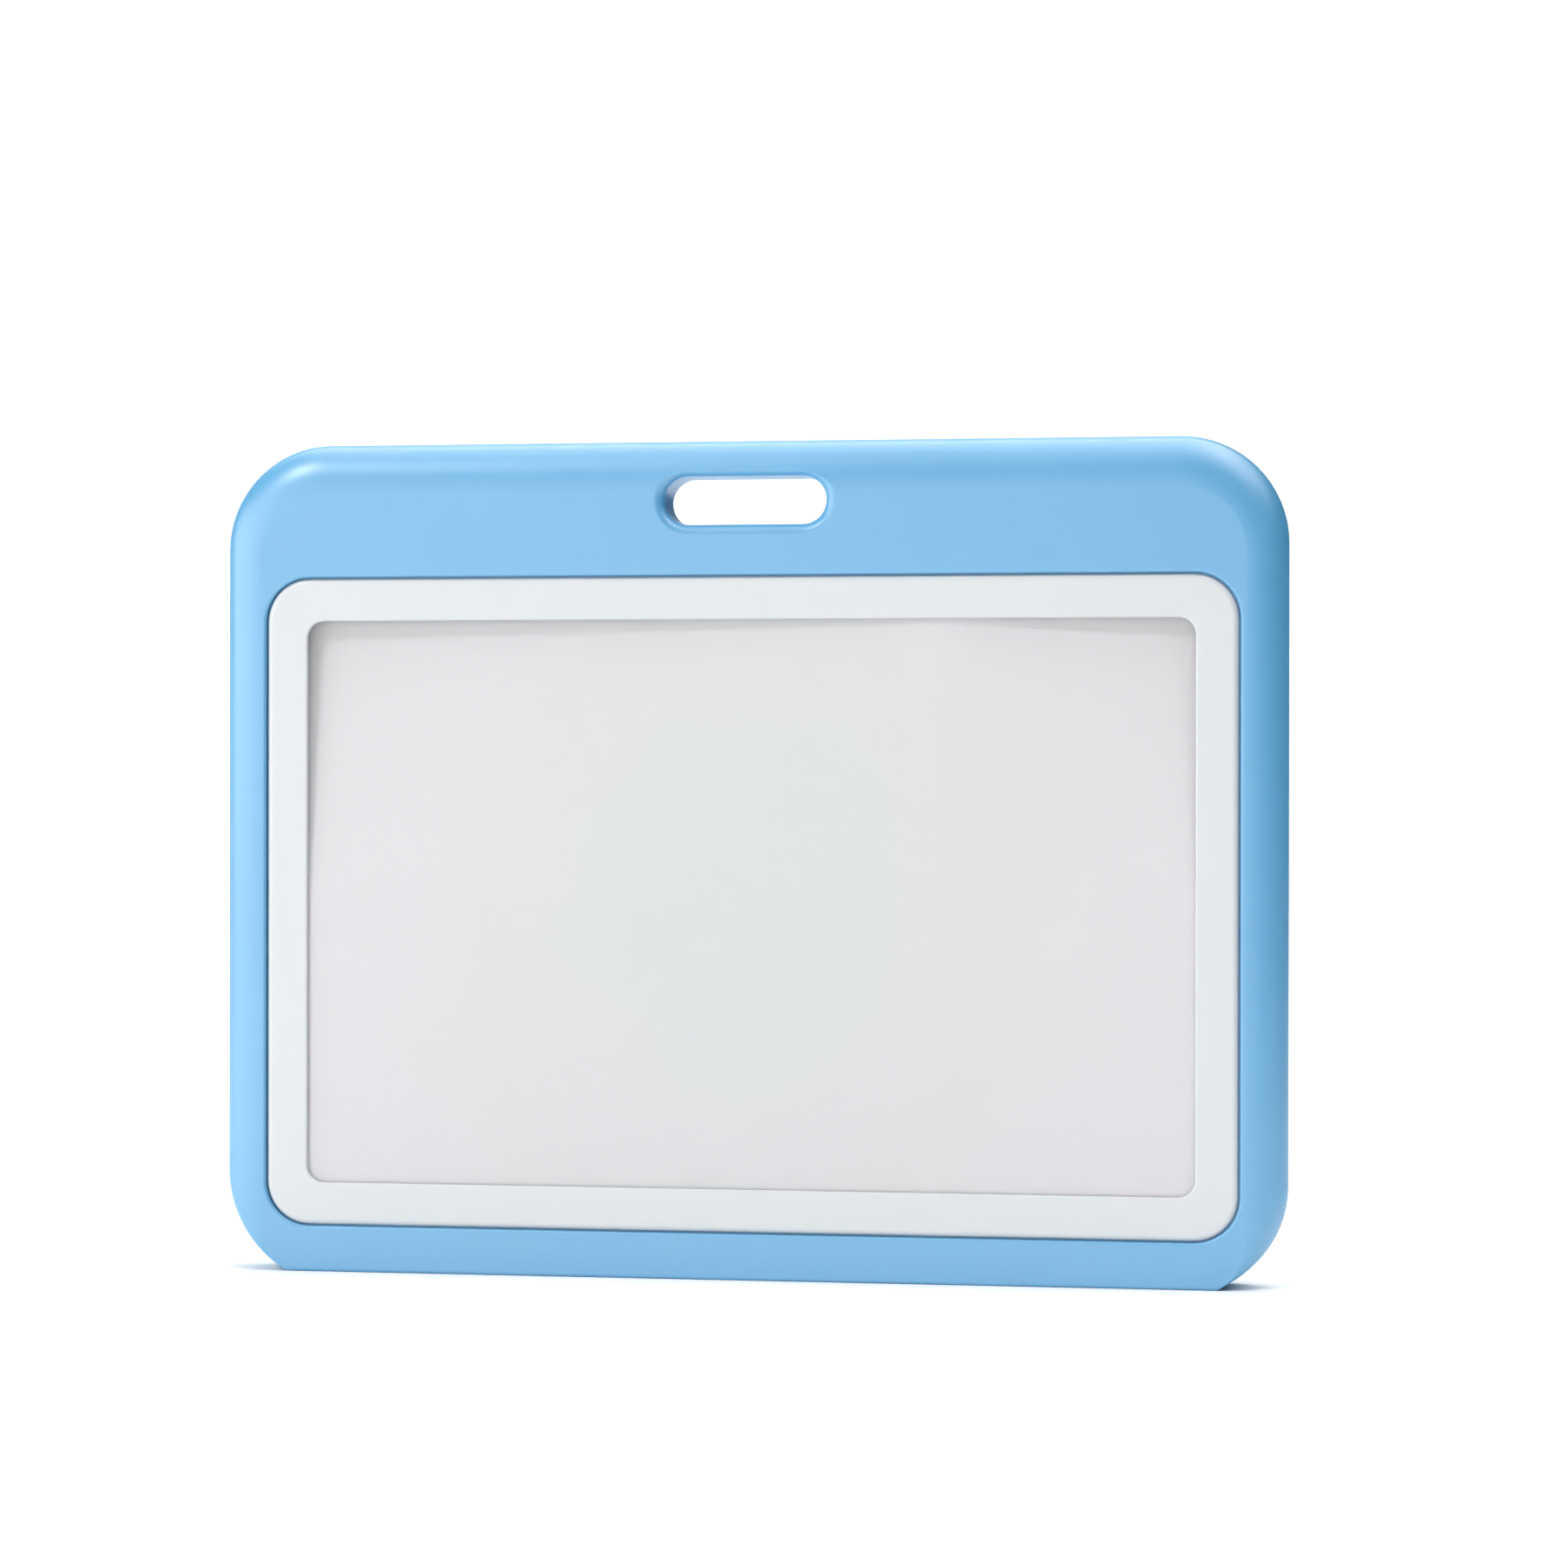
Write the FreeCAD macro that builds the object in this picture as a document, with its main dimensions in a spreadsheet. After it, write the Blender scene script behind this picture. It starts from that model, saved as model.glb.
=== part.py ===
"""Landscape rigid card badge holder with a slide-out card tray, in millimetres.

The origin is the middle of the flat bottom edge. X is the width, Y the depth with the front
towards -Y, and Z is up. The case is two half shells that meet at y = 0. Each holds a white bezel
and a clear window film, and the card tray slides down and out of the mouth in the bottom edge.
"""
import FreeCAD, Part
import math
import os

import Sketcher

# The driving dimensions. Each one is a cell of the document's spreadsheet, under this name.
DIMENSIONS = {
    # the case
    "shell_width": 98.8,
    "shell_height": 77.0,
    "shell_depth": 6.0,
    "shell_top_radius": 9.8,
    "shell_bottom_radius": 9.8,
    "flat_cut": 0.6,
    "side_crown": 3.7,
    "top_crown": 4.6,
    "bottom_rounding": 0.35,
    "parting_groove": 0.1,
    "face_wall": 1.2,
    "side_wall": 1.4,
    "top_wall": 2.2,
    # the lanyard slot
    "slot_length": 15.0,
    "slot_height": 4.4,
    "slot_centre": 71.4,
    "slot_rounding": 0.95,
    "slot_collar": 1.3,
    # the bezels and the window films behind their lips
    "window_centre": 34.4,
    "bezel_width": 90.0,
    "bezel_height": 60.0,
    "bezel_radius": 4.0,
    "bezel_gap": 0.15,
    "bezel_plate": 0.7,
    "bezel_rounding": 0.55,
    "window_rounding": 0.2,
    "seat_rounding": 0.25,
    "boss_inset": 1.45,
    "boss_gap": 0.15,
    "window_width": 82.3,
    "window_height": 52.2,
    "window_radius": 1.6,
    "lip_thickness": 0.3,
    "lip_overlap": 1.65,
    "film_gap": 0.1,
    "film_thickness": 0.12,
    # the card and its tray
    "card_width": 85.6,
    "card_height": 54.0,
    "card_radius": 3.18,
    "card_thickness": 0.4,
    "card_gap": 0.2,
    "pocket_depth": 0.75,
    "tray_width": 87.0,
    "tray_height": 62.7,
    "tray_depth": 3.3,
    "tray_side_gap": 0.2,
    "tray_top_radius": 0.6,
    "tray_low_radius": 0.8,
    "view_inset": 1.5,
    # the spring fingers on the tray, and the ears that stop it at the end of its travel
    "finger_thickness": 0.8,
    "finger_slit": 0.4,
    "finger_length": 12.7,
    "ear_reach": 0.9,
    "ear_depth": 1.1,
    "ear_low": 58.0,
    "ear_height": 3.0,
    "groove_depth": 0.7,
    "groove_low": 9.8,
    # the hollow sides and top of the case
    "rail_thickness": 1.5,
    "roof_rib": 1.2,
    "channel_low": 9.0,
    "channel_length": 13.5,
    "channel_pitch": 18.2,
    "stiffener_thickness": 1.0,
    "stiffener_pitch": 9.0,
    "stiffener_drop": 0.25,
    # the pegs of the back shell, and the sockets of the front one
    "peg_radius": 0.9,
    "peg_gap": 0.05,
    "peg_length": 1.4,
    "peg_inset": 2.8,
    "boss_radius": 2.2,
    "boss_x": 38.0,
    "boss_z": 70.4,
    # the beads that hold the tray shut, and the pull at the back
    "bead_reach": 0.1,
    "bead_height": 0.8,
    "bead_low": 1.8,
    "bead_length": 12.0,
    "bead_x": 20.0,
    "bead_groove": 0.2,
    "bead_groove_gap": 0.2,
    "notch_width": 24.0,
    "notch_height": 3.0,
    "notch_radius": 1.8,
    "ridge_width": 19.0,
    "ridge_reach": 0.55,
    "ridge_height": 0.45,
    "ridge_low": 0.45,
    "ridge_pitch": 0.85,
}
CROWN_LEVELS = 6
LOW_RADIUS_LOSS = 1.26  # keeps the flat bottom as wide at the face as at the parting line
CHANNELS_PER_SIDE = 3
STIFFENERS_PER_SIDE = 3
RIDGES = 3
CUT_MARGIN = 1.0  # how far a cut runs past the edge that it opens
INTO_WALL = 1.1  # a pad that joins the face wall runs on into it by this factor
SAME_PLACE = 1e-5  # lengths closer than this are the same
BOX_SLACK = 1e-3  # how far an edge's bounding box may stand off the edge

FRONT = -1
BACK = 1

ORIGIN_POINT = (-1, 1)
HORIZONTAL_AXIS = -1
VERTICAL_AXIS = -2
START = 1
END = 2
CENTRE = 3

document = FreeCAD.newDocument("BadgeHolder")


class Size:
    """A length that carries its value and the spreadsheet expression that drives it."""

    def __init__(self, value, text):
        self.value = value
        self.text = text

    def __add__(self, other):
        other = as_size(other)
        return Size(self.value + other.value, f"({self.text} + {other.text})")

    def __sub__(self, other):
        other = as_size(other)
        return Size(self.value - other.value, f"({self.text} - {other.text})")

    def __mul__(self, number):
        return Size(self.value * number, f"({self.text} * {number})")

    def __truediv__(self, number):
        return Size(self.value / number, f"({self.text} / {number})")

    def __neg__(self):
        return self * -1


def as_size(length):
    """Let a bare number stand in a sum of sizes."""
    return length if isinstance(length, Size) else Size(float(length), str(length))


def fill_sheet():
    """Put the driving dimensions in a spreadsheet, and return a size for each."""
    sheet = document.addObject("Spreadsheet::Sheet", "Dimensions")
    sizes = {}
    for row, (name, value) in enumerate(DIMENSIONS.items(), start=1):
        sheet.set(f"A{row}", name)
        sheet.set(f"B{row}", str(value))
        sheet.setAlias(f"B{row}", name)
        sizes[name] = Size(value, f"Dimensions.{name}")
    document.recompute()
    return sizes


size = fill_sheet()
zero = as_size(0)


# ---- sketch shapes ----


def point(x, z):
    """A point of a sketch on the XZ plane."""
    return FreeCAD.Vector(x, z, 0)


def drive(sketch, constraint, expression):
    """Add a constraint, and bind its value to an expression."""
    index = sketch.addConstraint(constraint)
    sketch.setExpression(f"Constraints[{index}]", expression)


def fix_coordinate(sketch, kind, geometry, position, distance):
    """Hold one coordinate of a sketch point at a distance from the origin."""
    if distance.value == 0:
        axis = VERTICAL_AXIS if kind == "DistanceX" else HORIZONTAL_AXIS
        sketch.addConstraint(Sketcher.Constraint("PointOnObject", geometry, position, axis))
    elif distance.value > 0:
        constraint = Sketcher.Constraint(kind, *ORIGIN_POINT, geometry, position, distance.value)
        drive(sketch, constraint, distance.text)
    else:
        constraint = Sketcher.Constraint(kind, geometry, position, *ORIGIN_POINT, -distance.value)
        drive(sketch, constraint, (-distance).text)


def fix_radius(sketch, geometry, radius):
    drive(sketch, Sketcher.Constraint("Radius", geometry, radius.value), radius.text)


def arc(x, z, radius, start_angle, end_angle):
    circle = Part.Circle(point(x, z), FreeCAD.Vector(0, 0, 1), radius)
    return Part.ArcOfCircle(circle, math.radians(start_angle), math.radians(end_angle))


class Box:
    """A rectangle whose two low and two high corners may be rounded."""

    def __init__(self, left, right, low, high, low_radius=None, high_radius=None):
        self.corners = [
            (left, low, low_radius),
            (right, low, low_radius),
            (right, high, high_radius),
            (left, high, high_radius),
        ]

    def draw(self, sketch):
        """Go round from the low left corner: a side, then the arc at its end if there is one."""
        steps = [(1, 0), (0, 1), (-1, 0), (0, -1)]
        pieces = []
        for number, (step_x, step_z) in enumerate(steps):
            begin_x, begin_z, begin_radius = self.corners[number]
            end_x, end_z, end_radius = self.corners[(number + 1) % 4]
            back_off = begin_radius.value if begin_radius else 0
            stop_short = end_radius.value if end_radius else 0
            begin = point(begin_x.value + step_x * back_off, begin_z.value + step_z * back_off)
            end = point(end_x.value - step_x * stop_short, end_z.value - step_z * stop_short)
            side = sketch.addGeometry(Part.LineSegment(begin, end))
            pieces.append((side, False))
            level = "Horizontal" if step_z == 0 else "Vertical"
            sketch.addConstraint(Sketcher.Constraint(level, side))
            if end_radius:
                centre_x = end.x - step_z * stop_short
                centre_z = end.y + step_x * stop_short
                turn = 90 * (number - 1)
                corner = sketch.addGeometry(arc(centre_x, centre_z, stop_short, turn, turn + 90))
                pieces.append((corner, True))
                fix_radius(sketch, corner, end_radius)
            if step_z == 0:
                fix_coordinate(sketch, "DistanceY", side, START, begin_z)
            else:
                fix_coordinate(sketch, "DistanceX", side, START, begin_x)
        for (piece, is_arc), (following, next_is_arc) in zip(pieces, pieces[1:] + pieces[:1]):
            joint = "Tangent" if is_arc or next_is_arc else "Coincident"
            sketch.addConstraint(Sketcher.Constraint(joint, piece, END, following, START))


class Obround:
    """A level slot shape with round ends, centred on the Z axis."""

    def __init__(self, centre_z, length, height):
        self.centre_z = centre_z
        self.reach = (length - height) / 2
        self.radius = height / 2

    def draw(self, sketch):
        reach = self.reach.value
        radius = self.radius.value
        middle = self.centre_z.value
        lower = Part.LineSegment(point(-reach, middle - radius), point(reach, middle - radius))
        right = arc(reach, middle, radius, -90, 90)
        upper = Part.LineSegment(point(reach, middle + radius), point(-reach, middle + radius))
        left = arc(-reach, middle, radius, 90, 270)
        pieces = [sketch.addGeometry(piece) for piece in (lower, right, upper, left)]
        for piece, following in zip(pieces, pieces[1:] + pieces[:1]):
            sketch.addConstraint(Sketcher.Constraint("Tangent", piece, END, following, START))
        sketch.addConstraint(Sketcher.Constraint("Horizontal", pieces[0]))
        sketch.addConstraint(Sketcher.Constraint("Equal", pieces[1], pieces[3]))
        fix_radius(sketch, pieces[1], self.radius)
        fix_coordinate(sketch, "DistanceY", pieces[1], CENTRE, self.centre_z)
        fix_coordinate(sketch, "DistanceX", pieces[1], CENTRE, self.reach)
        fix_coordinate(sketch, "DistanceX", pieces[3], CENTRE, -self.reach)


class Disc:
    """A circle."""

    def __init__(self, x, z, radius):
        self.x = x
        self.z = z
        self.radius = radius

    def draw(self, sketch):
        centre = point(self.x.value, self.z.value)
        circle = Part.Circle(centre, FreeCAD.Vector(0, 0, 1), self.radius.value)
        index = sketch.addGeometry(circle)
        fix_radius(sketch, index, self.radius)
        fix_coordinate(sketch, "DistanceX", index, CENTRE, self.x)
        fix_coordinate(sketch, "DistanceY", index, CENTRE, self.z)


def both_sides(near, far, low, high, *radii):
    """The same box on the right and on the left of the Z axis."""
    return [Box(near, far, low, high, *radii), Box(-far, -near, low, high, *radii)]


def centred_box(width, height, radius):
    """A rounded box about the middle of the window."""
    middle = size["window_centre"]
    return Box(-width / 2, width / 2, middle - height / 2, middle + height / 2, radius, radius)


# ---- features ----


def new_body(label):
    body = document.addObject("PartDesign::Body", label)
    body.Label = label
    return body


def sketch_at(body, name, y, shapes):
    """A sketch of the shapes in the plane of this y."""
    sketch = body.newObject("Sketcher::SketchObject", f"{name}_sketch")
    plane = next(item for item in body.Origin.OriginFeatures if item.Role == "XZ_Plane")
    sketch.AttachmentSupport = [(plane, "")]
    sketch.MapMode = "FlatFace"
    sketch.setExpression("AttachmentOffset.Base.z", (-y).text)
    for shape in shapes:
        shape.draw(sketch)
    sketch.Visibility = False
    document.recompute()
    return sketch


def extrude(body, kind, name, start, end, shapes):
    """Pad or pocket the shapes from y = start to y = end, and check that it changed the solid."""
    before = 0 if body.Shape.isNull() else body.Shape.Volume
    sketch = sketch_at(body, name, start, shapes)
    feature = body.newObject(f"PartDesign::{kind}", name)
    feature.Profile = sketch
    towards_front = end.value < start.value
    feature.Reversed = towards_front == (kind == "Pocket")
    length = start - end if towards_front else end - start
    feature.setExpression("Length", length.text)
    document.recompute()
    change = body.Shape.Volume - before
    if (change <= 0) == (kind == "Pad"):
        raise ValueError(f"{body.Label}: {name} changed the volume by {change:.3f}")
    return feature


def round_edges(body, name, radius, wanted):
    """Fillet the edges of the body that a test picks."""
    tip = body.Tip
    edges = [f"Edge{i}" for i, edge in enumerate(tip.Shape.Edges, start=1) if wanted(edge)]
    if not edges:
        raise ValueError(f"{body.Label}: {name} found no edges")
    fillet = body.newObject("PartDesign::Fillet", name)
    fillet.Base = (tip, edges)
    fillet.setExpression("Radius", radius.text)
    document.recompute()


def lies_at(edge, y):
    """Whether an edge lies in the plane of this y."""
    box = edge.BoundBox
    return abs(box.YMin - y) < SAME_PLACE and abs(box.YMax - y) < SAME_PLACE


def stays_within(edge, half_width, half_height):
    """Whether an edge stays inside a rectangle about the middle of the window."""
    box = edge.BoundBox
    middle = size["window_centre"].value
    across = max(abs(box.XMin), abs(box.XMax))
    up = max(abs(box.ZMin - middle), abs(box.ZMax - middle))
    return across < half_width.value + BOX_SLACK and up < half_height.value + BOX_SLACK


# ---- the case ----


def peg_places():
    """Middles of the pegs: in the solid blocks of the side walls, and two in the top chamber."""
    x = size["shell_width"] / 2 - size["peg_inset"]
    places = []
    for number in range(CHANNELS_PER_SIDE):
        block = (size["channel_pitch"] - size["channel_length"]) / 2
        z = size["channel_low"] + size["channel_pitch"] * number - block
        places += [(x, z), (-x, z)]
    return places + [(size["boss_x"], size["boss_z"]), (-size["boss_x"], size["boss_z"])]


def peg_discs():
    return [Disc(x, z, size["peg_radius"]) for x, z in peg_places()]


def hollow_out(body, side):
    """Cut the tray bay, the hollow sides and the top chamber into a half shell."""
    inner_face = (size["shell_depth"] / 2 - size["face_wall"]) * side
    bay_half = size["tray_width"] / 2 + size["tray_side_gap"]
    bay_top = size["tray_height"] + size["tray_side_gap"]
    bay = Box(-bay_half, bay_half, as_size(-CUT_MARGIN), bay_top)
    extrude(body, "Pocket", "tray_bay", zero, inner_face, [bay])

    ear_reach = size["tray_width"] / 2 + size["ear_reach"] + size["tray_side_gap"]
    grooves = both_sides(bay_half - CUT_MARGIN, ear_reach, size["groove_low"], bay_top)
    extrude(body, "Pocket", "ear_grooves", zero, size["groove_depth"] * side, grooves)

    channel_far = size["shell_width"] / 2 - size["side_wall"]
    channel_near = bay_half + size["rail_thickness"]
    channels = []
    for number in range(CHANNELS_PER_SIDE):
        low = size["channel_low"] + size["channel_pitch"] * number
        channels += both_sides(channel_near, channel_far, low, low + size["channel_length"])
    extrude(body, "Pocket", "side_channels", zero, inner_face, channels)

    chamber_low = bay_top + size["roof_rib"]
    chamber_high = size["shell_height"] - size["top_wall"]
    chamber_radius = size["shell_top_radius"] - size["top_wall"]
    chamber = Box(-channel_far, channel_far, chamber_low, chamber_high, None, chamber_radius)
    extrude(body, "Pocket", "top_chamber", zero, inner_face, [chamber])

    stiffeners = []
    for number in range(STIFFENERS_PER_SIDE):
        near = size["slot_length"] / 2 + size["stiffener_pitch"] * number + size["stiffener_pitch"] / 2
        far = near + size["stiffener_thickness"]
        stiffeners += both_sides(near, far, chamber_low - CUT_MARGIN / 2, chamber_high + CUT_MARGIN / 2)
    extrude(body, "Pad", "stiffeners", size["stiffener_drop"] * side, inner_face * INTO_WALL, stiffeners)


def add_slot(body, side):
    """The collar round the lanyard slot, the slot, and its funnel rim."""
    outer_face = size["shell_depth"] / 2 * side
    collar_length = size["slot_length"] + size["slot_collar"] * 2
    collar_height = size["slot_height"] + size["slot_collar"] * 2
    collar = Obround(size["slot_centre"], collar_length, collar_height)
    extrude(body, "Pad", "slot_collar", zero, outer_face, [collar])
    slot = Obround(size["slot_centre"], size["slot_length"], size["slot_height"])
    extrude(body, "Pocket", "lanyard_slot", zero, outer_face, [slot])

    def on_slot_rim(edge):
        height_off = abs(edge.CenterOfMass.z - size["slot_centre"].value)
        return lies_at(edge, outer_face.value) and height_off < size["slot_height"].value

    round_edges(body, "slot_rim", size["slot_rounding"], on_slot_rim)


def add_bezel_seat(body, side):
    """The stepped opening that the bezel drops into."""
    outer_face = size["shell_depth"] / 2 * side
    inner_face = (size["shell_depth"] / 2 - size["face_wall"]) * side
    seat_face = (size["shell_depth"] / 2 - size["bezel_plate"]) * side
    seat_width = size["bezel_width"] + size["bezel_gap"] * 2
    seat_height = size["bezel_height"] + size["bezel_gap"] * 2
    seat = centred_box(seat_width, seat_height, size["bezel_radius"] + size["bezel_gap"])
    extrude(body, "Pocket", "bezel_seat", outer_face, seat_face, [seat])

    def on_seat_rim(edge):
        return lies_at(edge, outer_face.value) and stays_within(edge, seat_width / 2, seat_height / 2)

    round_edges(body, "seat_rim", size["seat_rounding"], on_seat_rim)

    inset = size["boss_inset"] - size["boss_gap"]
    opening = centred_box(
        size["bezel_width"] - inset * 2,
        size["bezel_height"] - inset * 2,
        size["bezel_radius"] - inset,
    )
    extrude(body, "Pocket", "window_opening", seat_face, inner_face, [opening])


def add_pegs(body, side):
    """Bosses in the top chamber, then sockets in the front shell or pegs on the back one."""
    inner_face = (size["shell_depth"] / 2 - size["face_wall"]) * side
    bosses = [Disc(size["boss_x"] * turn, size["boss_z"], size["boss_radius"]) for turn in (1, -1)]
    extrude(body, "Pad", "bosses", zero, inner_face * INTO_WALL, bosses)
    if side == FRONT:
        socket_radius = size["peg_radius"] + size["peg_gap"]
        depth = (size["peg_length"] + size["peg_gap"] * 2) * FRONT
        sockets = [Disc(x, z, socket_radius) for x, z in peg_places()]
        extrude(body, "Pocket", "sockets", zero, depth, sockets)
    else:
        extrude(body, "Pad", "pegs", inner_face, -size["peg_length"], peg_discs())


def add_mouth_details(body, side):
    """Grooves for the tray's beads just inside the mouth, and the nail notch of the back."""
    inner_face = (size["shell_depth"] / 2 - size["face_wall"]) * side
    groove_face = inner_face + size["bead_groove"] * side
    gap = size["bead_groove_gap"]
    low = size["bead_low"] - gap
    high = size["bead_low"] + size["bead_height"] + gap
    grooves = both_sides(size["bead_x"] - gap, size["bead_x"] + size["bead_length"] + gap, low, high)
    extrude(body, "Pocket", "bead_grooves", zero, groove_face, grooves)
    if side == BACK:
        half = size["notch_width"] / 2
        notch = Box(-half, half, as_size(-CUT_MARGIN), size["notch_height"], None, size["notch_radius"])
        extrude(body, "Pocket", "nail_notch", zero, size["shell_depth"] / 2, [notch])


def level_outline(inset_share):
    """The outline of the case drawn in by a share of its crown, with the low edge left in place."""
    side_inset = size["side_crown"] * inset_share
    half_width = size["shell_width"] / 2 - side_inset
    top = size["shell_height"] - size["top_crown"] * inset_share
    low_radius = size["shell_bottom_radius"] - side_inset * LOW_RADIUS_LOSS
    high_radius = size["shell_top_radius"] - side_inset
    return Box(-half_width, half_width, -size["flat_cut"], top, low_radius, high_radius)


def make_envelope(label, side):
    """The outer form of a half shell. Its sides and top curve in to the face as an ellipse."""
    body = new_body(label)
    groove = size["parting_groove"]
    crown_depth = size["shell_depth"] / 2 - groove
    sections = []
    for number in range(CROWN_LEVELS + 1):
        angle = math.radians(90 * number / CROWN_LEVELS)
        level = (groove + crown_depth * math.sin(angle)) * side
        sections.append(sketch_at(body, f"level_{number}", level, [level_outline(1 - math.cos(angle))]))
    loft = body.newObject("PartDesign::AdditiveLoft", "crown")
    loft.Profile = sections[0]
    loft.Sections = sections[1:]
    document.recompute()

    half_width = size["shell_width"] / 2 - groove
    radii = (size["shell_bottom_radius"] - groove, size["shell_top_radius"] - groove)
    land = Box(-half_width, half_width, -size["flat_cut"], size["shell_height"] - groove, *radii)
    extrude(body, "Pad", "parting_land", zero, groove * side, [land])
    if side == BACK:
        extrude(body, "Pad", "peg_room", zero, -size["peg_length"], peg_discs())
    return body


def make_shell(label, side):
    """A block with all the inner features, cut to the outer form of the case."""
    body = new_body(f"{label}_block")
    outer_face = size["shell_depth"] / 2 * side
    half_width = size["shell_width"] / 2 + CUT_MARGIN
    block = Box(-half_width, half_width, zero, size["shell_height"] + CUT_MARGIN)
    extrude(body, "Pad", "block", zero, outer_face, [block])
    hollow_out(body, side)
    add_pegs(body, side)
    add_slot(body, side)
    add_bezel_seat(body, side)
    add_mouth_details(body, side)

    def on_bottom_edge(edge):
        return lies_at(edge, outer_face.value) and edge.BoundBox.ZMax < SAME_PLACE

    round_edges(body, "bottom_edge", size["bottom_rounding"], on_bottom_edge)

    envelope = make_envelope(f"{label}_envelope", side)
    shell = document.addObject("Part::MultiCommon", label)
    shell.Label = label
    shell.Shapes = [body, envelope]
    document.recompute()
    return shell


# ---- the bezels and films ----


def make_bezel(label, side):
    """A frame that drops into its seat, with a boss behind and a thin lip in front of the film."""
    body = new_body(label)
    outer_face = size["shell_depth"] / 2 * side
    seat_face = (size["shell_depth"] / 2 - size["bezel_plate"]) * side
    inner_face = (size["shell_depth"] / 2 - size["face_wall"]) * side
    lip_face = (size["shell_depth"] / 2 - size["lip_thickness"]) * side
    plate = centred_box(size["bezel_width"], size["bezel_height"], size["bezel_radius"])
    extrude(body, "Pad", "plate", outer_face, seat_face, [plate])
    inset = size["boss_inset"]
    boss = centred_box(
        size["bezel_width"] - inset * 2,
        size["bezel_height"] - inset * 2,
        size["bezel_radius"] - inset,
    )
    extrude(body, "Pad", "boss", seat_face, inner_face, [boss])
    window = centred_box(size["window_width"], size["window_height"], size["window_radius"])
    extrude(body, "Pocket", "window", inner_face, outer_face, [window])
    rebate_margin = size["lip_overlap"] + size["film_gap"]
    rebate = centred_box(
        size["window_width"] + rebate_margin * 2,
        size["window_height"] + rebate_margin * 2,
        size["window_radius"],
    )
    extrude(body, "Pocket", "film_rebate", inner_face, lip_face, [rebate])

    def round_outer_face(name, radius, at_window):
        """Round the outer face's edges at its window, or those at its rim."""

        def chosen(edge):
            inside = stays_within(edge, size["window_width"] / 2, size["window_height"] / 2)
            return lies_at(edge, outer_face.value) and inside == at_window

        round_edges(body, name, radius, chosen)

    round_outer_face("rim", size["bezel_rounding"], False)
    round_outer_face("window_edge", size["window_rounding"], True)
    return body


def make_film(label, side):
    """The clear sheet behind a bezel's lip."""
    body = new_body(label)
    lip_face = (size["shell_depth"] / 2 - size["lip_thickness"]) * side
    film_face = lip_face - size["film_thickness"] * side
    film = centred_box(
        size["window_width"] + size["lip_overlap"] * 2,
        size["window_height"] + size["lip_overlap"] * 2,
        size["window_radius"],
    )
    extrude(body, "Pad", "film", lip_face, film_face, [film])
    return body


# ---- the tray and the card ----


def make_tray(label):
    """The frame that carries the card, with its spring fingers, stop ears, beads and pull."""
    body = new_body(label)
    front = -size["tray_depth"] / 2
    back = size["tray_depth"] / 2
    half_width = size["tray_width"] / 2
    top = size["tray_height"]
    frame = Box(-half_width, half_width, zero, top, size["tray_low_radius"], size["tray_top_radius"])
    extrude(body, "Pad", "frame", front, back, [frame])
    view = centred_box(
        size["card_width"] - size["view_inset"] * 2,
        size["card_height"] - size["view_inset"] * 2,
        size["window_radius"],
    )
    extrude(body, "Pocket", "view", front, back, [view])
    pocket_floor = front + size["pocket_depth"]
    pocket = centred_box(
        size["card_width"] + size["card_gap"] * 2,
        size["card_height"] + size["card_gap"] * 2,
        size["card_radius"],
    )
    extrude(body, "Pocket", "card_pocket", front, pocket_floor, [pocket])

    slit_far = half_width - size["finger_thickness"]
    slit_near = slit_far - size["finger_slit"]
    slits = both_sides(slit_near, slit_far, top - size["finger_length"], top + CUT_MARGIN)
    extrude(body, "Pocket", "finger_slits", front, back, slits)
    ear_front = -size["ear_depth"] / 2
    ears = both_sides(
        half_width - size["finger_thickness"] / 2,
        half_width + size["ear_reach"],
        size["ear_low"],
        size["ear_low"] + size["ear_height"],
    )
    extrude(body, "Pad", "stop_ears", ear_front, -ear_front, ears)

    bead_end = size["bead_x"] + size["bead_length"]
    bead_top = size["bead_low"] + size["bead_height"]
    beads = both_sides(size["bead_x"], bead_end, size["bead_low"], bead_top)
    bead_face = back + size["bead_reach"]
    extrude(body, "Pad", "detent_beads", -bead_face, bead_face, beads)

    ridges = []
    for number in range(RIDGES):
        low = size["ridge_low"] + size["ridge_pitch"] * number
        half = size["ridge_width"] / 2
        ridges.append(Box(-half, half, low, low + size["ridge_height"]))
    extrude(body, "Pad", "pull_ridges", zero, back + size["ridge_reach"], ridges)
    return body


def make_card(label):
    """The card, lying on the floor of the tray's pocket."""
    body = new_body(label)
    card_back = -size["tray_depth"] / 2 + size["pocket_depth"]
    card = centred_box(size["card_width"], size["card_height"], size["card_radius"])
    extrude(body, "Pad", "card", card_back, card_back - size["card_thickness"], [card])
    return body


# ---- checks and export ----


def check_document(nodes):
    """Stop on a failed object, or on a sub-part that isn't one valid solid."""
    for item in document.Objects:
        bad = [word for word in item.State if word in ("Invalid", "Error")]
        if bad:
            raise ValueError(f"{item.Name} is {bad}")
        if item.TypeId == "Sketcher::SketchObject" and not item.FullyConstrained:
            raise ValueError(f"{item.Name} isn't fully constrained")
    for node in nodes:
        shape = node.Shape
        if shape.isNull() or not shape.isValid() or len(shape.Solids) != 1:
            raise ValueError(f"{node.Label} isn't one valid solid")


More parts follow.
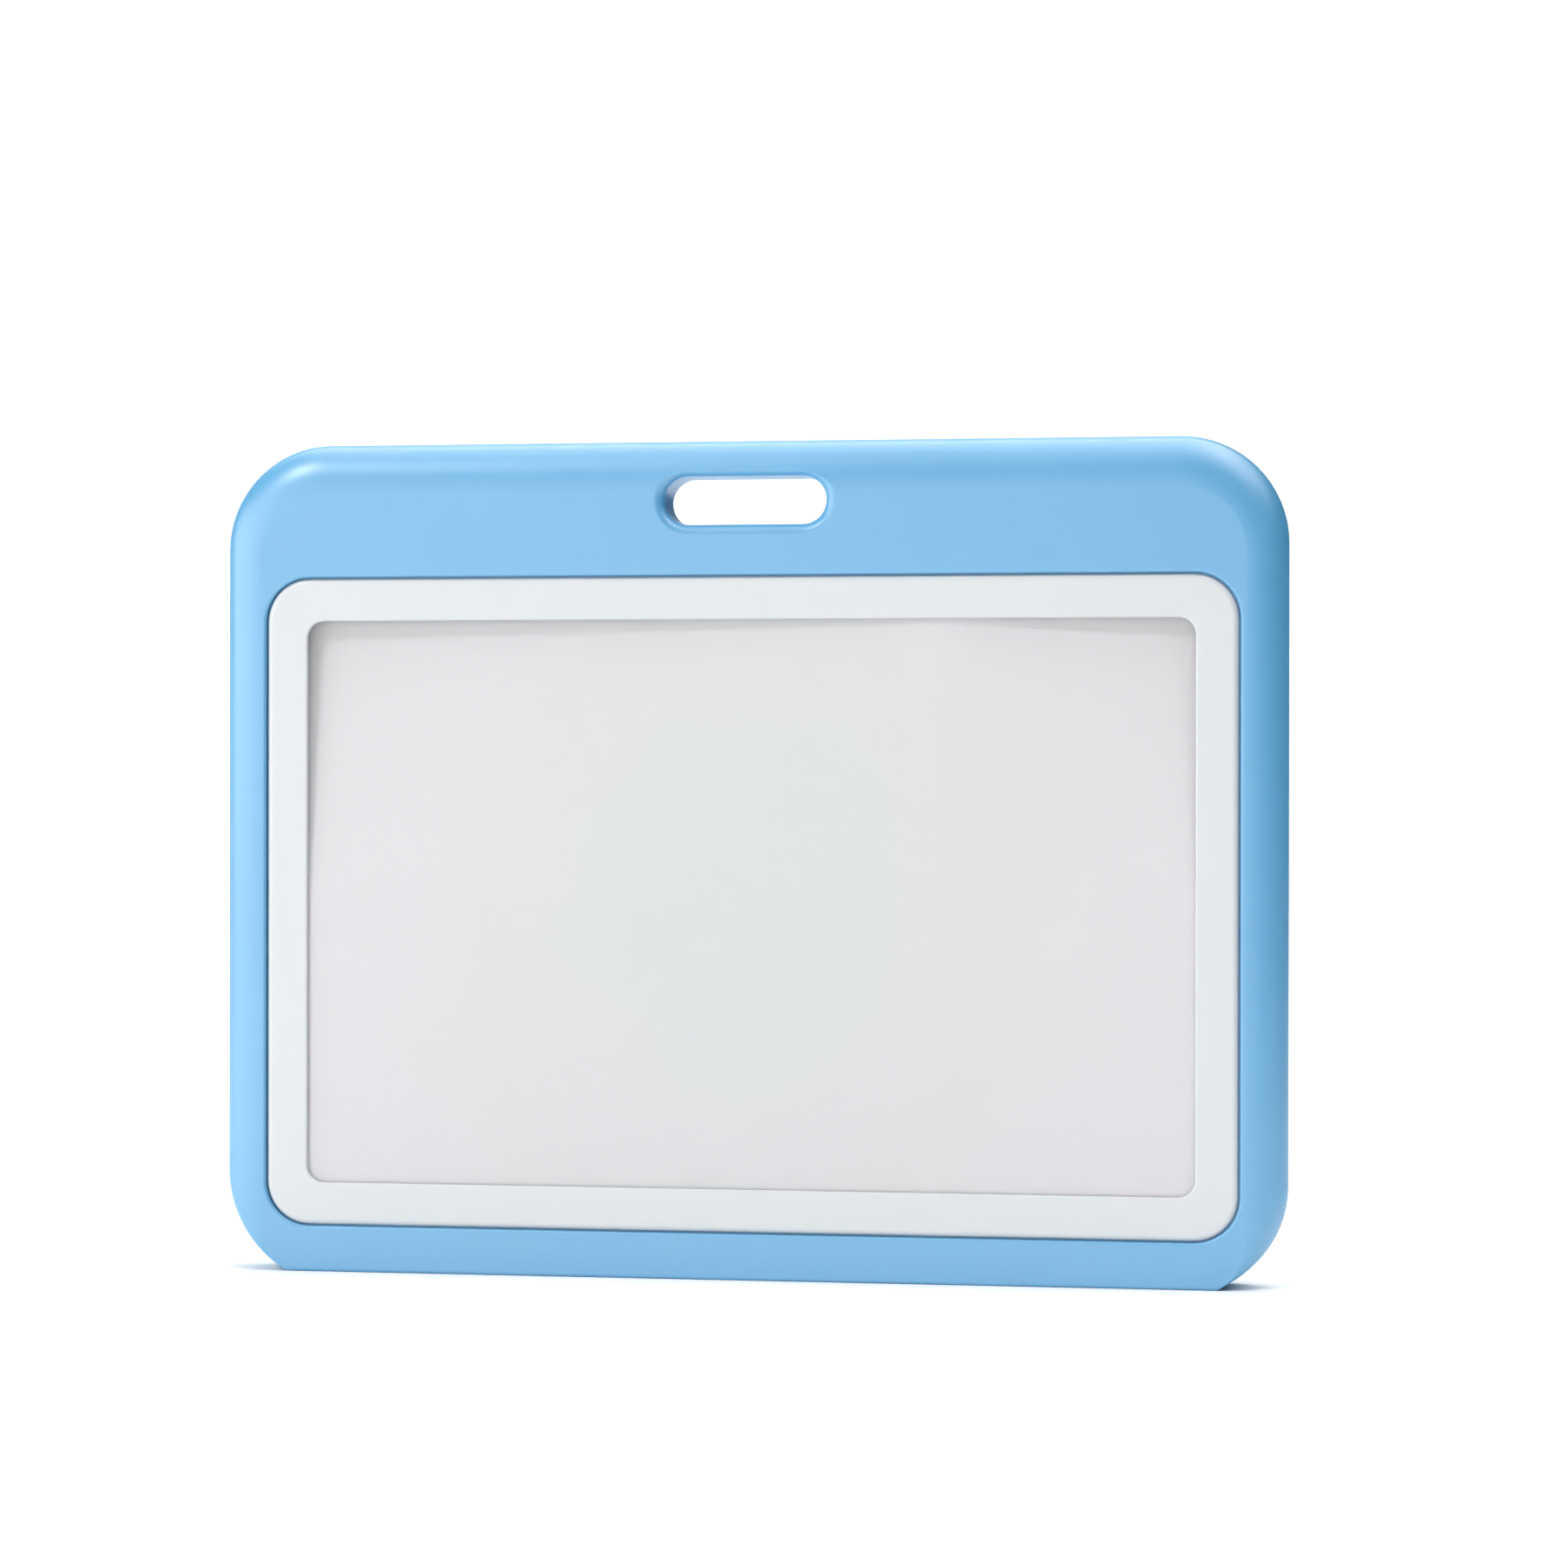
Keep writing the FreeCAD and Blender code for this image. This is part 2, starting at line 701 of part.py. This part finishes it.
def main():
    nodes = [
        make_shell("front_shell", FRONT),
        make_shell("back_shell", BACK),
        make_bezel("front_bezel", FRONT),
        make_bezel("rear_bezel", BACK),
        make_film("front_window", FRONT),
        make_film("rear_window", BACK),
        make_tray("card_tray"),
        make_card("card_insert"),
    ]
    document.recompute()
    check_document(nodes)
    os.makedirs("parts", exist_ok=True)
    for node in nodes:
        node.Shape.exportStep(f"parts/{node.Label}.step")
        box = node.Shape.BoundBox
        print(
            f"{node.Label}: {node.Shape.Volume:.1f} mm3, "
            f"x {box.XMin:.2f}..{box.XMax:.2f}, y {box.YMin:.2f}..{box.YMax:.2f}, "
            f"z {box.ZMin:.2f}..{box.ZMax:.2f}"
        )


main()
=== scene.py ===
import math

import bmesh
import bpy
from mathutils import Matrix, Vector


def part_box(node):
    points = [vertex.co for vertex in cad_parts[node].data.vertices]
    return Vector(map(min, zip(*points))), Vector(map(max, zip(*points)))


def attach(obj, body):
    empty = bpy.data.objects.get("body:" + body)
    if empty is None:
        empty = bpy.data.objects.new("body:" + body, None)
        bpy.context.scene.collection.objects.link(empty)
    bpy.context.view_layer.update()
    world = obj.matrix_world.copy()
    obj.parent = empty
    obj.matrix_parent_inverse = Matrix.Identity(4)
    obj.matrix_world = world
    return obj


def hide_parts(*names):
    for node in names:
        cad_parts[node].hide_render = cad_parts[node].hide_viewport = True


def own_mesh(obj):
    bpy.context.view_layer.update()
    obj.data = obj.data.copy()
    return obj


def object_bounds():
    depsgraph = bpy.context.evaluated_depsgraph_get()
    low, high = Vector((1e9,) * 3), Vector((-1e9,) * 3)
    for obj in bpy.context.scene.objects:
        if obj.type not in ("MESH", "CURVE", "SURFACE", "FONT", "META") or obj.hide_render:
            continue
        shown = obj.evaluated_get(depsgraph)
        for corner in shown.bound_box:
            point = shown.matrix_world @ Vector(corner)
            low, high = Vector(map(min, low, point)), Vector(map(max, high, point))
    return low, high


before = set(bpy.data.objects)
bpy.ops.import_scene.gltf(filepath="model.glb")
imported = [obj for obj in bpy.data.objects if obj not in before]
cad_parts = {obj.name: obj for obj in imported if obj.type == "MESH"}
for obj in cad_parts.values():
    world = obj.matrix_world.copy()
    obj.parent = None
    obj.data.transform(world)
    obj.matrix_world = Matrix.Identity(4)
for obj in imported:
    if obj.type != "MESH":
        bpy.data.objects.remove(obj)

MM = 0.001
CAD_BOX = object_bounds()


def add_object(name, data):
    """Put a new object that has this data into the scene."""
    added = bpy.data.objects.new(name, data)
    bpy.context.scene.collection.objects.link(added)
    return added


def set_inputs(node, values):
    """Give the named inputs of a node their fixed values."""
    for name, value in values.items():
        node.inputs[name].default_value = value


def grey(level):
    """A neutral colour of this linear level."""
    return (level, level, level, 1.0)


# ---- the camera and the studio ----

CAMERA_PLACE = Vector((58.39, -353.0, 46.53)) * MM
CAMERA_YAW = math.radians(8.874)
CAMERA_PITCH = math.radians(0.178)
CAMERA_ROLL = math.radians(0.081)
CAMERA_LENS = 89.13  # mm
CAMERA_SENSOR = 36.0  # mm
CAMERA_NEAREST = 0.01  # metres
CAMERA_FARTHEST = 20.0

SURROUND_COLOUR = (0.97, 0.985, 1.0, 1.0)
SURROUND_LIGHT = 0.04
LIGHTS = (
    # name, place in metres, width, height, radiance
    ("front", (-0.50, -1.46, 0.08), 1.24, 0.9, 1.95),
    ("left", (-1.12, -0.45, 0.22), 1.4, 0.8, 2.55),
    ("key", (-0.86, -1.10, 1.35), 0.22, 0.22, 70.0),
    ("upper", (0.15, -0.78, 1.17), 1.0, 0.36, 0.9),
    ("top", (0.0, 0.20, 1.60), 1.6, 1.6, 2.1),
    ("right", (0.80, -0.35, 1.40), 1.2, 1.2, 2.4),
)
LIGHTS_AIM = (CAD_BOX[0] + CAD_BOX[1]) / 2
BACKDROP_LIGHT = ("backdrop", (0.0, 0.9, 1.9), 3.8, 0.6, 7.0)
BACKDROP_AIM = Vector((0.0, 2.4, 0.5))

# The floor, in metres: its left and right edges, where it starts in front of the part, where it
# begins to bend up behind it, the bend's radius, and how high it ends. It stops short on the right,
# so that the part's curved right side mirrors the dark surround there.
FLOOR_SIDES = (-3.0, 0.2)
FLOOR_FRONT = -2.5
FLOOR_BACK = 1.6
FLOOR_BEND = 1.0
FLOOR_TOP = 3.5
FLOOR_BEND_STEPS = 24
FLOOR_GLOW = 0.16
# painted shadow: within this distance of the part the floor's glow fades, so the floor is darker
# there
SHADOW_REACH = 12 * MM  # the floor's own glow fades out this near to the part


def add_camera():
    """The camera, a little above the part's middle and to its right, turned towards it."""
    data = bpy.data.cameras.new("camera")
    data.lens = CAMERA_LENS
    data.sensor_width = CAMERA_SENSOR
    data.clip_start = CAMERA_NEAREST
    data.clip_end = CAMERA_FARTHEST
    camera = add_object("camera", data)
    ahead = Vector((
        -math.sin(CAMERA_YAW) * math.cos(CAMERA_PITCH),
        math.cos(CAMERA_YAW) * math.cos(CAMERA_PITCH),
        -math.sin(CAMERA_PITCH),
    ))
    turn = ahead.to_track_quat("-Z", "Y").to_matrix()
    roll = Matrix.Rotation(CAMERA_ROLL, 3, "Z")
    camera.matrix_world = Matrix.Translation(CAMERA_PLACE) @ (turn @ roll).to_4x4()
    bpy.context.scene.camera = camera


def add_light(name, place, width, height, radiance, aim):
    """A soft rectangular studio light, as bright as its radiance, facing the place it aims at."""
    data = bpy.data.lights.new(name, "AREA")
    data.shape = "RECTANGLE"
    data.size = width
    data.size_y = height
    data.energy = radiance * math.pi * width * height
    light = add_object(name, data)
    light.location = place
    ahead = aim - Vector(place)
    light.rotation_euler = ahead.to_track_quat("-Z", "Y").to_euler()


def add_world():
    """A dim surround that lights the part faintly, and looks white past the edges of the floor."""
    world = bpy.data.worlds.new("studio")
    world.use_nodes = True
    tree = world.node_tree
    surround = tree.nodes["Background"]
    set_inputs(surround, {"Color": SURROUND_COLOUR, "Strength": SURROUND_LIGHT})
    white = tree.nodes.new("ShaderNodeBackground")
    set_inputs(white, {"Color": grey(1.0)})
    rays = tree.nodes.new("ShaderNodeLightPath")
    choice = tree.nodes.new("ShaderNodeMixShader")
    tree.links.new(rays.outputs["Is Camera Ray"], choice.inputs["Fac"])
    tree.links.new(surround.outputs["Background"], choice.inputs[1])
    tree.links.new(white.outputs["Background"], choice.inputs[2])
    tree.links.new(choice.outputs["Shader"], tree.nodes["World Output"].inputs["Surface"])
    bpy.context.scene.world = world


def add_floor():
    """A pale floor that sweeps up behind the part.

    It goes down with the tray, so that the part stands on the tray when that is pulled out.
    """
    profile = [(FLOOR_FRONT, 0.0)]
    for step in range(FLOOR_BEND_STEPS + 1):
        angle = math.pi / 2 * step / FLOOR_BEND_STEPS
        y = FLOOR_BACK + FLOOR_BEND * math.sin(angle)
        profile.append((y, FLOOR_BEND * (1 - math.cos(angle))))
    profile.append((FLOOR_BACK + FLOOR_BEND, FLOOR_TOP))
    mesh = bpy.data.meshes.new("floor")
    points = [(side, y, z) for y, z in profile for side in FLOOR_SIDES]
    faces = [(2 * i, 2 * i + 1, 2 * i + 3, 2 * i + 2) for i in range(len(profile) - 1)]
    mesh.from_pydata(points, [], faces)
    mesh.shade_smooth()
    floor = add_object("floor", mesh)
    floor.data.materials.append(floor_material())
    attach(floor, "tray")


# ---- materials ----
# Noise scales are counts per metre, and bump distances are in metres.

NOISE_LOW = 0.3  # nearly all of a noise lies between these two
NOISE_HIGH = 0.7

SMOOTHER = 0.05  # how far a moulded surface's roughness wanders down, and up
ROUGHER = 0.06
SCATTER_SHARE = 0.1
SCATTER_COLOURS = (0.6, 0.9, 1.2)  # how far each colour scatters, as shares of the depth
SCATTER_DEPTH = 0.6 * MM

FILM_COLOUR = (0.871, 0.896, 0.913, 1.0)
FILM_ALPHA = 0.06

CARD_MIDDLE = (0.582, 0.605, 0.604, 1.0)
CARD_EDGE = (0.62, 0.602, 0.622, 1.0)
TINT_START = 0.006  # metres from the card's middle
TINT_END = 0.034
TINT_DRIFT = 0.016  # how far the tint's border wanders

FLOOR_SHADE = grey(0.90)
FLOOR_COLOUR = grey(0.92)
FLOOR_ROUGHNESS = 0.9
FLOOR_SPECULAR = 0.1


class Nodes:
    """A small helper that adds and links the nodes of one material."""

    def __init__(self, name):
        self.material = bpy.data.materials.new(name)
        self.material.use_nodes = True
        self.tree = self.material.node_tree
        self.shader = self.tree.nodes["Principled BSDF"]

    def add(self, kind, values=None):
        """Add a node of this kind, with these fixed values on its inputs."""
        node = self.tree.nodes.new(kind)
        set_inputs(node, values or {})
        return node

    def link(self, source, output, target, socket):
        """Feed an output of one node into an input of another."""
        self.tree.links.new(source.outputs[output], target.inputs[socket])

    def place(self):
        """Object coordinates: the same point of the part wherever the camera stands."""
        return self.add("ShaderNodeTexCoord")

    def operate(self, kind, operation):
        """A Math or Vector Math node that does this operation."""
        node = self.add(kind)
        node.operation = operation
        return node

    def noise(self, scale, detail, roughness=0.5):
        """Noise that is fixed to the part."""
        values = {"Scale": scale, "Detail": detail, "Roughness": roughness}
        node = self.add("ShaderNodeTexNoise", values)
        self.link(self.place(), "Object", node, "Vector")
        return node

    def ramp(self, source, output, low_colour, high_colour, low=NOISE_LOW, high=NOISE_HIGH):
        """Turn the value low into one colour and the value high into the other."""
        node = self.add("ShaderNodeValToRGB")
        node.color_ramp.elements[0].position = low
        node.color_ramp.elements[0].color = low_colour
        node.color_ramp.elements[1].position = high
        node.color_ramp.elements[1].color = high_colour
        self.link(source, output, node, "Fac")
        return node

    def spread(self, source, output, low, high, span=1.0):
        """Map 0 to span on to low to high."""
        values = {"From Max": span, "To Min": low, "To Max": high}
        node = self.add("ShaderNodeMapRange", values)
        self.link(source, output, node, "Value")
        return node

    def bump(self, source, output, strength, distance, below=None):
        """Raise the surface by a value, on top of another bump if one is given."""
        node = self.add("ShaderNodeBump", {"Strength": strength, "Distance": distance})
        self.link(source, output, node, "Height")
        if below:
            self.link(below, "Normal", node, "Normal")
        return node


def moulded_plastic(name, colour, shade, roughness, grain, grain_depth, ior, specular):
    """Injection-moulded plastic: faint flow shading, fine grain, and a roughness that wanders.

    The grain is its count per metre, and its depth is in metres.
    """
    nodes = Nodes(name)
    shader = nodes.shader
    flow = nodes.noise(scale=45.0, detail=2.0)
    tint = nodes.ramp(flow, "Fac", shade, colour)
    nodes.link(tint, "Color", shader, "Base Color")
    smear = nodes.noise(scale=160.0, detail=4.0, roughness=0.6)
    rough = nodes.spread(smear, "Fac", roughness - SMOOTHER, roughness + ROUGHER)
    nodes.link(rough, "Result", shader, "Roughness")
    fine = nodes.noise(grain, detail=2.0)
    swell = nodes.noise(scale=220.0, detail=1.0)
    low = nodes.bump(swell, "Fac", strength=0.15, distance=0.06 * MM)
    top = nodes.bump(fine, "Fac", strength=0.35, distance=grain_depth, below=low)
    nodes.link(top, "Normal", shader, "Normal")
    set_inputs(shader, {
        "Specular IOR Level": specular,
        "IOR": ior,
        "Subsurface Weight": SCATTER_SHARE,
        "Subsurface Radius": SCATTER_COLOURS,
        "Subsurface Scale": SCATTER_DEPTH,
    })
    return nodes.material


def film_material():
    """Clear polished film with a faint haze."""
    nodes = Nodes("clear_film")
    shader = nodes.shader
    set_inputs(shader, {"Base Color": FILM_COLOUR, "Alpha": FILM_ALPHA})
    haze = nodes.noise(scale=60.0, detail=3.0)
    rough = nodes.spread(haze, "Fac", low=0.05, high=0.12)
    nodes.link(rough, "Result", shader, "Roughness")
    return nodes.material


def card_material():
    """Blank card stock: faint fibre, greener in the middle and pinker towards its edges."""
    nodes = Nodes("card_stock")
    shader = nodes.shader
    low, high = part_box("card_insert")
    away = nodes.operate("ShaderNodeVectorMath", "DISTANCE")
    away.inputs[1].default_value = (low + high) / 2
    nodes.link(nodes.place(), "Object", away, 0)
    cloud = nodes.noise(scale=34.0, detail=3.0)
    drift = nodes.spread(cloud, "Fac", -TINT_DRIFT, TINT_DRIFT)
    mixed = nodes.operate("ShaderNodeMath", "ADD")
    nodes.link(away, "Value", mixed, 0)
    nodes.link(drift, "Result", mixed, 1)
    tint = nodes.ramp(mixed, "Value", CARD_MIDDLE, CARD_EDGE, TINT_START, TINT_END)
    nodes.link(tint, "Color", shader, "Base Color")
    fibre = nodes.noise(scale=2600.0, detail=4.0, roughness=0.7)
    rough = nodes.spread(fibre, "Fac", low=0.62, high=0.78)
    nodes.link(rough, "Result", shader, "Roughness")
    tooth = nodes.bump(fibre, "Fac", strength=0.2, distance=0.02 * MM)
    nodes.link(tooth, "Normal", shader, "Normal")
    return nodes.material


def floor_material():
    """White studio paper with a glow of its own, which can be seen through from below, and a
    painted shadow near the part, where the glow fades out.
    """
    nodes = Nodes("studio_floor")
    shader = nodes.shader
    dust = nodes.noise(scale=3.0, detail=2.0)
    tint = nodes.ramp(dust, "Fac", FLOOR_SHADE, FLOOR_COLOUR)
    nodes.link(tint, "Color", shader, "Base Color")
    set_inputs(shader, {
        "Roughness": FLOOR_ROUGHNESS,
        "Specular IOR Level": FLOOR_SPECULAR,
        "Emission Color": grey(1.0),
    })

    # Painted shadow: the glow grows with the distance from the part, and is none beside and under
    # it, so the floor is darker there.
    outward = nodes.operate("ShaderNodeVectorMath", "ABSOLUTE")
    nodes.link(nodes.place(), "Object", outward, 0)
    beyond = nodes.operate("ShaderNodeVectorMath", "SUBTRACT")
    beyond.inputs[1].default_value = CAD_BOX[1]
    nodes.link(outward, "Vector", beyond, 0)
    apart = nodes.add("ShaderNodeSeparateXYZ")
    nodes.link(beyond, "Vector", apart, "Vector")
    farther = nodes.operate("ShaderNodeMath", "MAXIMUM")
    nodes.link(apart, "X", farther, 0)
    nodes.link(apart, "Y", farther, 1)
    glow = nodes.spread(farther, "Value", 0.0, FLOOR_GLOW, SHADOW_REACH)
    nodes.link(glow, "Result", shader, "Emission Strength")

    clear = nodes.add("ShaderNodeBsdfTransparent")
    geometry = nodes.add("ShaderNodeNewGeometry")
    one_sided = nodes.add("ShaderNodeMixShader")
    nodes.link(geometry, "Backfacing", one_sided, "Fac")
    nodes.link(shader, "BSDF", one_sided, 1)
    nodes.link(clear, "BSDF", one_sided, 2)
    output = nodes.tree.nodes["Material Output"]
    nodes.link(one_sided, "Shader", output, "Surface")
    return nodes.material


def paint(names, material):
    """Give these CAD nodes one material in place of their own."""
    for name in names:
        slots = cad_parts[name].data.materials
        slots.clear()
        slots.append(material)


# ---- the card ----

CARD_BOW = 1.31 * MM
BOW_CREST = 0.73  # the share of the card's width, from its left, where its top edge meets the film
BOW_START = 0.52  # the share of the card's height above which it falls back
RIGHT_BOW_POWER = 0.8  # below 1, so that the card leaves the film steeply right of the crest
CARD_THICKNESS = 0.25 * MM
CARD_CORNER = 3.18 * MM
CARD_CELLS = (96, 60)  # across and up
CARD_SHARP_EDGE = math.radians(40)  # faces that meet at more than this are shaded apart
FILM_CLEARANCE = 0.03 * MM


def bow(x, z, low, high):
    """How far the card's face stands back from the film at a place on the card, in metres.

    The lower half of the card lies against the film. Its upper half falls back towards both top
    corners, and only meets the film at the crest.
    """
    across = (x - low.x) / (high.x - low.x)
    up = (z - low.z) / (high.z - low.z)
    left = max(0.0, 1 - across / BOW_CREST)
    right = max(0.0, (across - BOW_CREST) / (1 - BOW_CREST)) ** RIGHT_BOW_POWER
    rise = max(0.0, (up - BOW_START) / (1 - BOW_START))
    return CARD_BOW * max(left, right) * rise


def rounded_corner(x, z, low, high):
    """Draw a point of the card's grid in, so that the grid's corners turn into round ones."""
    off_x = x - min(max(x, low.x + CARD_CORNER), high.x - CARD_CORNER)
    off_z = z - min(max(z, low.z + CARD_CORNER), high.z - CARD_CORNER)
    if not off_x or not off_z:
        return x, z
    pull = max(abs(off_x), abs(off_z)) / math.hypot(off_x, off_z)
    return x - off_x * (1 - pull), z - off_z * (1 - pull)


def card_mesh(low, high):
    """A front and a back sheet of faces, joined by a strip round their border."""
    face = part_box("front_window")[1].y + FILM_CLEARANCE
    across, up = CARD_CELLS
    mesh = bmesh.new()
    grid = {}
    for sheet, depth in (("front", 0.0), ("back", CARD_THICKNESS)):
        for i in range(across + 1):
            for k in range(up + 1):
                flat_x = low.x + (high.x - low.x) * i / across
                flat_z = low.z + (high.z - low.z) * k / up
                x, z = rounded_corner(flat_x, flat_z, low, high)
                y = face + bow(x, z, low, high) + depth
                grid[sheet, i, k] = mesh.verts.new((x, y, z))
    for i in range(across):
        for k in range(up):
            front = ((i, k), (i + 1, k), (i + 1, k + 1), (i, k + 1))
            back = ((i, k), (i, k + 1), (i + 1, k + 1), (i + 1, k))
            mesh.faces.new([grid[("front", *corner)] for corner in front])
            mesh.faces.new([grid[("back", *corner)] for corner in back])
    border = [(i, 0) for i in range(across)] + [(across, k) for k in range(up)]
    border += [(across - i, up) for i in range(across)] + [(0, up - k) for k in range(up)]
    for here, after in zip(border, border[1:] + border[:1]):
        strip = (("front", *after), ("front", *here), ("back", *here), ("back", *after))
        mesh.faces.new([grid[corner] for corner in strip])
    bmesh.ops.recalc_face_normals(mesh, faces=mesh.faces)
    data = bpy.data.meshes.new("card")
    mesh.to_mesh(data)
    mesh.free()
    data.shade_smooth()
    data.set_sharp_from_angle(angle=CARD_SHARP_EDGE)
    return data


def add_card():
    """The blank card: a thin bowed sheet that rides in the tray."""
    low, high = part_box("card_insert")
    card = add_object("card", card_mesh(low, high))
    card.data.materials.append(card_material())
    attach(card, "tray")
    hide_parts("card_insert")
    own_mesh(card)


# ---- put together ----

bpy.context.scene.view_settings.view_transform = "Standard"
add_camera()
add_floor()
add_world()
for light in LIGHTS:
    add_light(*light, LIGHTS_AIM)
add_light(*BACKDROP_LIGHT, BACKDROP_AIM)

blue = moulded_plastic(
    "blue_shell",
    colour=(0.082, 0.352, 0.612, 1.0),
    shade=(0.077, 0.339, 0.597, 1.0),
    roughness=0.40,
    grain=2600.0,
    grain_depth=0.02 * MM,
    ior=1.7,
    specular=1.0,
)
white = moulded_plastic(
    "white_bezel",
    colour=(0.61, 0.635, 0.648, 1.0),
    shade=(0.60, 0.625, 0.638, 1.0),
    roughness=0.335,
    grain=2200.0,
    grain_depth=0.01 * MM,
    ior=1.5,
    specular=0.8,
)
tray_white = moulded_plastic(
    "white_tray",
    colour=(0.66, 0.69, 0.70, 1.0),
    shade=(0.64, 0.67, 0.69, 1.0),
    roughness=0.42,
    grain=2600.0,
    grain_depth=0.02 * MM,
    ior=1.5,
    specular=0.6,
)
paint(("front_shell", "back_shell"), blue)
paint(("front_bezel", "rear_bezel"), white)
paint(("front_window", "rear_window"), film_material())
paint(("card_tray",), tray_white)
add_card()
